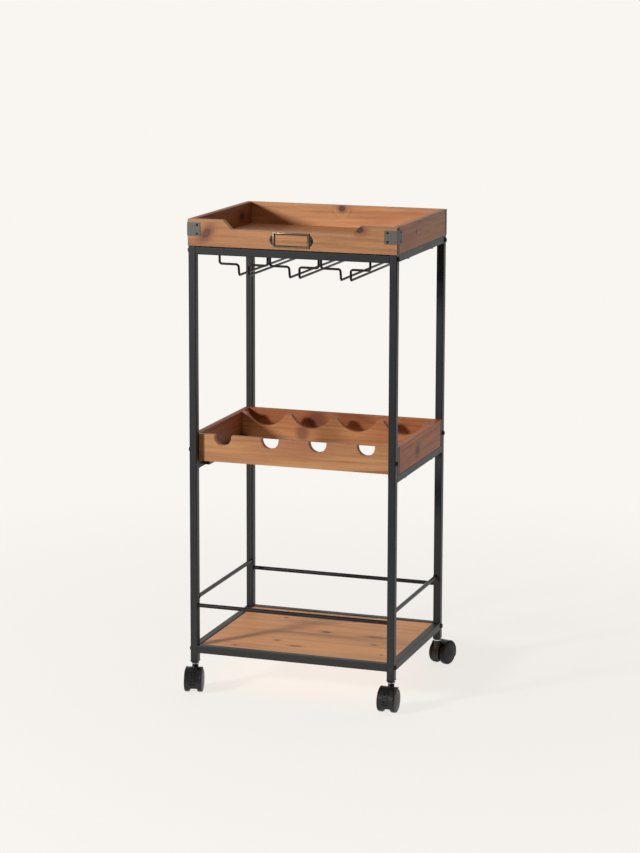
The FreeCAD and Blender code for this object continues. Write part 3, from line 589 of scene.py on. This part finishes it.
def ringed_recess(corners, radius, depth, crown):
    """A domed round head with a recess whose outline is a ring of points."""
    part = bmesh.new()
    floor = part.faces.new([part.verts.new((x * MM, y * MM, (crown - depth) * MM)) for x, y in corners])
    loop = ring_of(part, [(x * MM, y * MM, crown * MM) for x, y in corners], list(floor.edges))
    start = math.atan2(corners[0][1], corners[0][0])
    angles = [start + math.tau * i / len(corners) for i in range(len(corners))]
    for share, height in DOME_STEPS:
        reach = radius * share
        loop = ring_of(part, [(reach * math.cos(angle) * MM, reach * math.sin(angle) * MM, crown * height * MM)
                              for angle in angles], loop)
    bmesh.ops.recalc_face_normals(part, faces=part.faces[:])
    return part


def on_hexagon(across, per_side=4):
    """Points round a hexagon of a given width across its flats."""
    corners = [Vector((math.cos(math.tau * k / 6), math.sin(math.tau * k / 6))) for k in range(7)]
    points = []
    for first, last in zip(corners, corners[1:]):
        points += [first.lerp(last, i / per_side) * (across / math.sqrt(3)) for i in range(per_side)]
    return [tuple(point) for point in points]


def on_slot(length, width):
    """Points round a narrow slot."""
    half, side = length / 2, width / 2
    right = [(half, 0.0), (half, side), (half * 0.6, side), (half * 0.25, side), (0.0, side)]
    left = [(-x, y) for x, y in reversed(right[:-1])]
    lower_left = [(x, -y) for x, y in reversed(left[:-1])]
    lower_right = [(x, -y) for x, y in reversed(right[1:-1])]
    return right + left + lower_left + lower_right


BOLT_ABOVE_SPLIT = 23.5 * MM


def make_bolt_heads():
    """Domed heads with a hexagon socket on the outer sides of the posts."""
    piece = Piece()
    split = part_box("upper_post_fl")[0][Z]
    heights = (middle_of("top_long_rails")[Z], middle_of("shelf_long_rails")[Z], split + BOLT_ABOVE_SPLIT)
    places = []
    for corner in CORNERS:
        low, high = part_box("upper_post_" + corner)
        side = 1 if low[X] > 0 else -1
        face = high[X] if side > 0 else low[X]
        places += [facing((face, (low[Y] + high[Y]) / 2, height), (side, 0, 0)) for height in heights]
    piece.add(ringed_recess(on_hexagon(3.0), 5.0, 1.7, 3.1), *places)
    piece.add(turned([(5.2, 0.0), (5.2, 0.25), (4.6, 0.3)], 32), *places)
    piece.finish("bolt_heads", "cart", OXIDE, "black_fixings", "frame_bolts")


RIVET_FROM_CORNER = 19.5 * MM
RIVET_LIFT = 8.5 * MM


def make_rivet_heads():
    """Low round rivets in the legs of the corner plates."""
    piece = Piece()
    plate_low, plate_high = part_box("corner_plates")
    tray_low, tray_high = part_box("tray_front")
    middle = (plate_low[Z] + plate_high[Z]) / 2
    places = []
    for side in (-1, 1):
        edge = tray_high[X] if side > 0 else tray_low[X]
        outer = plate_high[X] if side > 0 else plate_low[X]
        for z in (middle - RIVET_LIFT, middle + RIVET_LIFT):
            places.append(facing((edge - side * RIVET_FROM_CORNER, plate_low[Y], z), (0, -1, 0)))
            places.append(facing((outer, tray_low[Y] + RIVET_FROM_CORNER, z), (side, 0, 0)))
    profile = [(2.5, -0.2), (2.5, 0.18), (2.3, 0.3), (1.95, 0.42), (1.6, 0.72), (0.9, 0.95), (0.0, 1.02)]
    piece.add(turned(profile, 24), *places)
    piece.finish("rivet_heads", "cart", OXIDE, "black_fixings", "plate_rivets")


EAR_REACH = 7.0
EAR_RADIUS = 12.0
EAR_LAP = 0.6
EAR_FACE = 0.85
SCREW_LIFT = 0.95


def label_rim(half_wide, half_high):
    """The frame round the window: a raised bead with a thin lip inside. Its back lies at Y 0."""
    # The section from the outer foot to the window: how far in, and how far proud.
    section = [(0.0, 0.0), (0.0, 1.3), (0.25, 1.9), (0.8, 2.2), (1.5, 2.15), (1.9, 1.7), (2.1, 1.1),
               (2.4, 0.95), (4.0, 0.95), (4.05, 0.2)]
    part = bmesh.new()
    loop = None
    for inset, proud in section:
        x, z = (half_wide - inset) * MM, (half_high - inset * 1.05) * MM
        loop = ring_of(part, [(sx * x, -proud * MM, sz * z) for sx, sz in ((-1, -1), (1, -1), (1, 1), (-1, 1))],
                       loop)
    bmesh.ops.recalc_face_normals(part, faces=part.faces[:])
    return part


def label_ear(middle, half_wide, side):
    """A flat round ear, cut off where the frame covers it."""
    ear = turned([(EAR_RADIUS, 0.0), (EAR_RADIUS, 0.55), (EAR_RADIUS - 0.45, 0.95), (EAR_RADIUS - 1.5, 1.0),
                  (4.0, 1.0), (3.2, EAR_FACE), (0.0, EAR_FACE)], 48)
    place = facing(middle + Vector((side * (half_wide + EAR_REACH - EAR_RADIUS) * MM, 0, 0)), (0, -1, 0))
    bmesh.ops.transform(ear, matrix=place, verts=ear.verts[:])
    cut = middle + Vector((side * (half_wide - EAR_LAP) * MM, 0, 0))
    bmesh.ops.bisect_plane(ear, geom=ear.verts[:] + ear.edges[:] + ear.faces[:], plane_co=cut,
                           plane_no=(side, 0, 0), clear_inner=True)
    return ear


def make_label_holder():
    """A pressed brass frame for a label, with an ear and a slotted screw at each end."""
    low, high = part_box("label_holder")
    middle = Vector(((low[X] + high[X]) / 2, high[Y], (low[Z] + high[Z]) / 2))
    half_high = (high[Z] - low[Z]) / 2 / MM
    half_wide = (high[X] - low[X]) / 2 / MM - EAR_REACH
    piece = Piece().add(label_rim(half_wide, half_high), Matrix.Translation(middle))
    for side in (-1, 1):
        piece.add(label_ear(middle, half_wide, side), Matrix())
    piece.finish("label_frame", "cart", BRASS, "aged_brass", "label_holder")

    screws = Piece()
    slotted = ringed_recess(on_slot(3.2, 0.7), 2.3, 0.6, 1.2)
    places = []
    for side, slot_turn in ((-1, -15), (1, 65)):
        spot = middle + Vector((side * (half_wide + EAR_REACH / 2) * MM, -SCREW_LIFT * MM, 0))
        places.append(facing(spot, (0, -1, 0)) @ Matrix.Rotation(math.radians(slot_turn), 4, "Z"))
    screws.add(slotted, *places)
    screws.finish("label_screw_heads", "cart", OXIDE, "black_fixings", "label_screws")


make_bolt_heads()
make_rivet_heads()
make_label_holder()


# ---------------------------------------------------------------- welds

ROD_RADIUS = 4.0 * MM
WIRE_RADIUS = 2.3 * MM
SEAM_LIFT = 3.0 * MM
BEADS = 8


def make_rod_welds():
    """Fillets of weld round the ends of the guard rods and the tops of the hanger wires."""
    piece = Piece()
    fillet = [(3.9, 1.9), (4.25, 1.2), (4.75, 0.5), (5.6, 0.05), (5.6, -0.2), (3.9, -0.2)]
    front_low, front_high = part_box("long_guards")
    side_low, side_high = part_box("side_guards")
    ends = []
    for y in (front_low[Y] + ROD_RADIUS, front_high[Y] - ROD_RADIUS):
        z = (front_low[Z] + front_high[Z]) / 2
        ends += [((front_low[X], y, z), (1, 0, 0)), ((front_high[X], y, z), (-1, 0, 0))]
    for x in (side_low[X] + ROD_RADIUS, side_high[X] - ROD_RADIUS):
        z = (side_low[Z] + side_high[Z]) / 2
        ends += [((x, side_low[Y], z), (0, 1, 0)), ((x, side_high[Y], z), (0, -1, 0))]
    piece.add(turned(fillet, 24), *[facing(place, direction) for place, direction in ends])
    rail_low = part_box("top_long_rails")[0][Z]
    seam = [(2.25, 1.4), (2.7, 1.0), (3.0, 0.2), (3.0, -1.2), (2.7, -2.0), (2.25, -2.4)]
    legs = []
    for name in ("glass_hanger_left", "glass_hanger_middle", "glass_hanger_right"):
        low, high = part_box(name)
        for x in (low[X] + WIRE_RADIUS, high[X] - WIRE_RADIUS):
            for y in (low[Y] + WIRE_RADIUS, high[Y] - WIRE_RADIUS):
                legs.append(Matrix.Translation((x, y, rail_low + SEAM_LIFT)))
    piece.add(turned(seam, 20), *legs)
    piece.finish("rod_welds", "cart", WIRE_COAT, "black_wire")


def make_rail_welds():
    """Rippled beads of weld on the inner sides, where the side rails meet the posts."""
    piece = Piece()
    places = []
    for rails in ("top_side_rails", "rack_side_rails", "shelf_side_rails"):
        low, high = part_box(rails)
        tube = high[Z] - low[Z]
        for side in (-1, 1):
            x = (high[X] if side > 0 else low[X]) - side * tube
            for y in (low[Y], high[Y]):
                for step in range(BEADS):
                    spot = (x, y, low[Z] + tube * (0.10 + 0.80 * step / (BEADS - 1)))
                    places.append(facing(spot, (-side, 0, 0)) @ Matrix.Diagonal((1.7, 1.7, 0.55, 1.0)))
    dome = [(0.0, 1.0), (0.38, 0.92), (0.71, 0.71), (0.92, 0.38), (1.0, 0.0), (1.0, -0.4)]
    piece.add(turned(dome, 16), *places)
    piece.finish("rail_welds", "cart", FRAME_COAT, "powder_coat")


make_rod_welds()
make_rail_welds()


# ---------------------------------------------------------------- casters

def stem_place(corner):
    """Where a caster's stem meets the floor, turned so that its wheels trail to -Y."""
    stem = middle_of("lower_post_" + corner)
    trail = middle_of("caster_axle_" + corner) - stem
    turn = math.atan2(trail[Y], trail[X]) + math.pi / 2
    return Matrix.Translation((stem[X], stem[Y], 0)) @ Matrix.Rotation(turn, 4, "Z")


def axle_place(corner):
    """The middle of a caster's axle, turned the same way."""
    return Matrix.Translation(middle_of("caster_axle_" + corner)) @ stem_place(corner).to_3x3().to_4x4()


def make_wheel(corner, which, side):
    """A moulded wheel: a crowned tread, a groove round its domed face and a hub inside."""
    profile = [(0.0, 14.8), (2.6, 14.8), (2.6, 8.0), (6.0, 8.0), (6.0, 10.2), (19.5, 10.2), (19.5, 8.0),
               (22.0, 8.0), (23.0, 8.5), (23.4, 9.5), (23.5, 11.4), (23.5, 14.0), (23.4, 16.0), (22.9, 17.1),
               (21.9, 17.5), (21.0, 17.5), (20.6, 17.0), (20.0, 17.0), (19.6, 17.55), (17.0, 17.95),
               (12.6, 18.4), (8.0, 18.65), (6.6, 18.68), (6.3, 18.45), (5.9, 18.45), (5.6, 18.7), (0.0, 18.75)]
    outward = facing((0, 0, 0), (side, 0, 0))
    piece = Piece().add(turned(profile, 64), axle_place(corner) @ outward)
    name = "wheel_%s_%s" % (which, corner)
    piece.finish("moulded_" + name, name, WHEEL_PLASTIC, "wheel_plastic", name, sharp=32.0)


def on_arc(x, radius, angle):
    """A point round the axle: 0 degrees is straight ahead of it and 90 is above."""
    turn = math.radians(angle)
    return Vector((x, -radius * math.cos(turn), radius * math.sin(turn))) * MM


def arched(section, first, last, steps=56):
    """A closed section of x and radius, swept round the axle from one angle to another."""
    part = bmesh.new()
    loop = None
    for step in range(steps + 1):
        angle = first + (last - first) * step / steps
        loop = ring_of(part, [on_arc(x, radius, angle) for x, radius in section], loop)
        if step in (0, steps):
            part.faces.new([edge.verts[0] for edge in loop])
    bmesh.ops.recalc_face_normals(part, faces=part.faces[:])
    return part


HOOD_RADIUS = 25.8
HOOD_ANGLES = (-26.5, 125.0)
BEAD_REACH = (-0.4, 2.2)


def make_hood_trim(corner):
    """A rolled lip along both edges of the cover, a bead across its front and a collar at the socket."""
    lip = [(14.7, 24.5), (15.9, 24.5), (16.25, 24.9), (16.3, 25.5), (16.0, 26.1), (15.4, 26.3), (14.8, 26.1),
           (14.4, 25.6)]
    bead = [(-15.0, 24.5), (15.0, 24.5), (15.0, 25.9), (14.7, 26.2), (-14.7, 26.2), (-15.0, 25.9)]
    place = axle_place(corner)
    first, last = HOOD_ANGLES
    piece = Piece()
    piece.add(arched(lip, first, last), place)
    piece.add(arched([(-x, radius) for x, radius in lip], first, last), place)
    piece.add(arched(bead, first + BEAD_REACH[0], first + BEAD_REACH[1], 6), place)
    collar = turned([(4.4, 51.6), (6.0, 51.6), (6.5, 51.3), (6.7, 50.6), (6.5, 49.9), (6.1, 49.6)], 40)
    piece.add(collar, stem_place(corner))
    piece.finish("hood_trim_" + corner, "caster_" + corner, HOOD_PLASTIC, "black_plastic")


ROCKER_ANGLE = 21.6
ROCKER_HALF_ARC = 28.0
ROCKER_HALF_WIDTH = 5.2
ROCKER_FACE_DROP = 0.25
DIMPLE_ARC = 17.0
DIMPLE_RADIUS = 1.6
DIMPLE_DEPTH = 2.0
CREASE_STEP = 0.9
CREASE_DEPTH = 1.0
ROCKER_THICKNESS = 2.4
ROCKER_PIVOT_RADIUS = 21.1


def rocker_relief(x, arc):
    """How deep the face of a rocker lies under the hood's: a stepped crease, two dimples, rounded edges."""
    along = math.radians(arc) * HOOD_RADIUS
    crease = along - CREASE_STEP * math.tanh(x / 0.8)
    deep = CREASE_DEPTH * math.exp(-(crease / 0.75) ** 2)
    for side in (-1, 1):
        dimple = math.hypot(x + 0.9, along - side * math.radians(DIMPLE_ARC) * HOOD_RADIUS)
        deep = max(deep, DIMPLE_DEPTH * (1.0 - min(1.0, max(0.0, (dimple - DIMPLE_RADIUS) / 0.5))))
    rim = min(ROCKER_HALF_WIDTH - abs(x), math.radians(ROCKER_HALF_ARC - abs(arc)) * HOOD_RADIUS)
    rounding = max(0.0, 0.7 - rim)
    return max(deep, rounding ** 2 * 1.2) - ROCKER_FACE_DROP


def make_rocker(corner):
    """The brake rocker: a curved plate with the reliefs, on a hub and a pin."""
    part = bmesh.new()
    bmesh.ops.create_grid(part, x_segments=44, y_segments=110, size=1.0)
    for vert in part.verts:
        x, arc = vert.co.x * ROCKER_HALF_WIDTH, vert.co.y * ROCKER_HALF_ARC
        vert.co = on_arc(x, HOOD_RADIUS - rocker_relief(x, arc), ROCKER_ANGLE + arc)
    shell = bmesh.ops.extrude_face_region(part, geom=part.faces[:])
    inner = [item for item in shell["geom"] if isinstance(item, bmesh.types.BMVert)]
    for vert in inner:
        out = Vector((0, vert.co.y, vert.co.z)).normalized()
        vert.co = Vector((vert.co.x, 0, 0)) + out * (HOOD_RADIUS - ROCKER_THICKNESS) * MM
    bmesh.ops.recalc_face_normals(part, faces=part.faces[:])
    pivot = on_arc(0, ROCKER_PIVOT_RADIUS, ROCKER_ANGLE)
    piece = Piece().add(part, axle_place(corner))
    hub = turned([(0.0, -7.2), (1.3, -7.2), (1.3, -5.2), (2.2, -5.2), (2.2, 5.2), (1.3, 5.2), (1.3, 7.2),
                  (0.0, 7.2)], 24)
    piece.add(hub, axle_place(corner) @ facing(pivot, (1, 0, 0)))
    name = "brake_pedal_" + corner
    piece.finish("moulded_" + name, name, HOOD_PLASTIC, "black_plastic", name)


for corner in CORNERS:
    make_wheel(corner, "a", -1)
    make_wheel(corner, "b", 1)
    make_hood_trim(corner)
for corner in BRAKED:
    make_rocker(corner)


# ---------------------------------------------------------------- floor and light

BACKGROUND = (0.945, 0.920, 0.880)
FLOOR_GLOW = 0.82
FLOOR_RADIUS = 2.0
ROOM_LIGHT = 0.03
WALL_LIGHT = 0.90
WALL_EDGE = 0.20
WALL_MIDDLE = 0.95
LAMP_TARGET = Vector((0, 0, 0.5))


def lay_floor():
    """A plain pale floor that fades into the background."""
    finish = Finish("pale_floor")
    x, y = finish.split(finish.place())[:2]
    fade = 1.0 - x.length_with(y).rises(0.25, 1.9)
    speckle = finish.noise(finish.place(), (40.0, 40.0, 40.0), 0.0, 2.0)
    shade = finish.mix(speckle, colour(0.195, 0.190, 0.182), colour(0.205, 0.200, 0.192))
    material = finish.shade(Base_Color=shade, Roughness=0.9, Alpha=fade, Specular_IOR_Level=0.0,
                            Emission_Color=colour(*BACKGROUND), Emission_Strength=FLOOR_GLOW)
    part = bmesh.new()
    bmesh.ops.create_circle(part, cap_ends=True, segments=96, radius=FLOOR_RADIUS)
    mesh = bpy.data.meshes.new("floor")
    part.to_mesh(mesh)
    part.free()
    mesh.materials.append(material)
    floor = bpy.data.objects.new("floor", mesh)
    bpy.context.scene.collection.objects.link(floor)


def set_world():
    """A studio that is pale to look at: as light, its back wall is bright and the room in front dim."""
    world = bpy.data.worlds.new("studio")
    bpy.context.scene.world = world
    world.use_nodes = True
    nodes, links = world.node_tree.nodes, world.node_tree.links
    shown = nodes["Background"]
    shown.inputs["Color"].default_value = colour(*BACKGROUND)
    shown.inputs["Strength"].default_value = 1.0
    direction = nodes.new("ShaderNodeTexCoord")
    split = nodes.new("ShaderNodeSeparateXYZ")
    links.new(direction.outputs["Generated"], split.inputs[0])
    wall = nodes.new("ShaderNodeMapRange")
    wall.interpolation_type = "SMOOTHSTEP"
    for name, value in (("From Min", WALL_EDGE), ("From Max", WALL_MIDDLE), ("To Min", ROOM_LIGHT),
                        ("To Max", WALL_LIGHT)):
        wall.inputs[name].default_value = value
    links.new(split.outputs["Y"], wall.inputs["Value"])
    light = nodes.new("ShaderNodeBackground")
    light.inputs["Color"].default_value = colour(1.0, 0.985, 0.96)
    links.new(wall.outputs[0], light.inputs["Strength"])
    seen = nodes.new("ShaderNodeLightPath")
    mix = nodes.new("ShaderNodeMixShader")
    links.new(seen.outputs["Is Camera Ray"], mix.inputs[0])
    links.new(light.outputs[0], mix.inputs[1])
    links.new(shown.outputs[0], mix.inputs[2])
    links.new(mix.outputs[0], nodes["World Output"].inputs["Surface"])


def hang_lamp(name, azimuth, elevation, distance, size, power):
    """A square soft lamp aimed at the cart; azimuth 0 is the front and 90 the right."""
    turn, rise = math.radians(azimuth), math.radians(elevation)
    back = Vector((math.sin(turn) * math.cos(rise), -math.cos(turn) * math.cos(rise), math.sin(rise)))
    light = bpy.data.lights.new(name, "AREA")
    light.size = size
    light.energy = power
    lamp = bpy.data.objects.new(name, light)
    lamp.location = LAMP_TARGET + back * distance
    lamp.rotation_euler = back.to_track_quat("Z", "Y").to_euler()
    bpy.context.scene.collection.objects.link(lamp)


lay_floor()
set_world()
hang_lamp("key_lamp", -38, 17.5, 4.5, 0.6, 162.0)
hang_lamp("fill_lamp", 80, 12, 4.0, 2.0, 7.0)
hang_lamp("top_lamp", 0, 86, 3.0, 2.5, 14.0)
bpy.context.scene.view_settings.view_transform = "Standard"
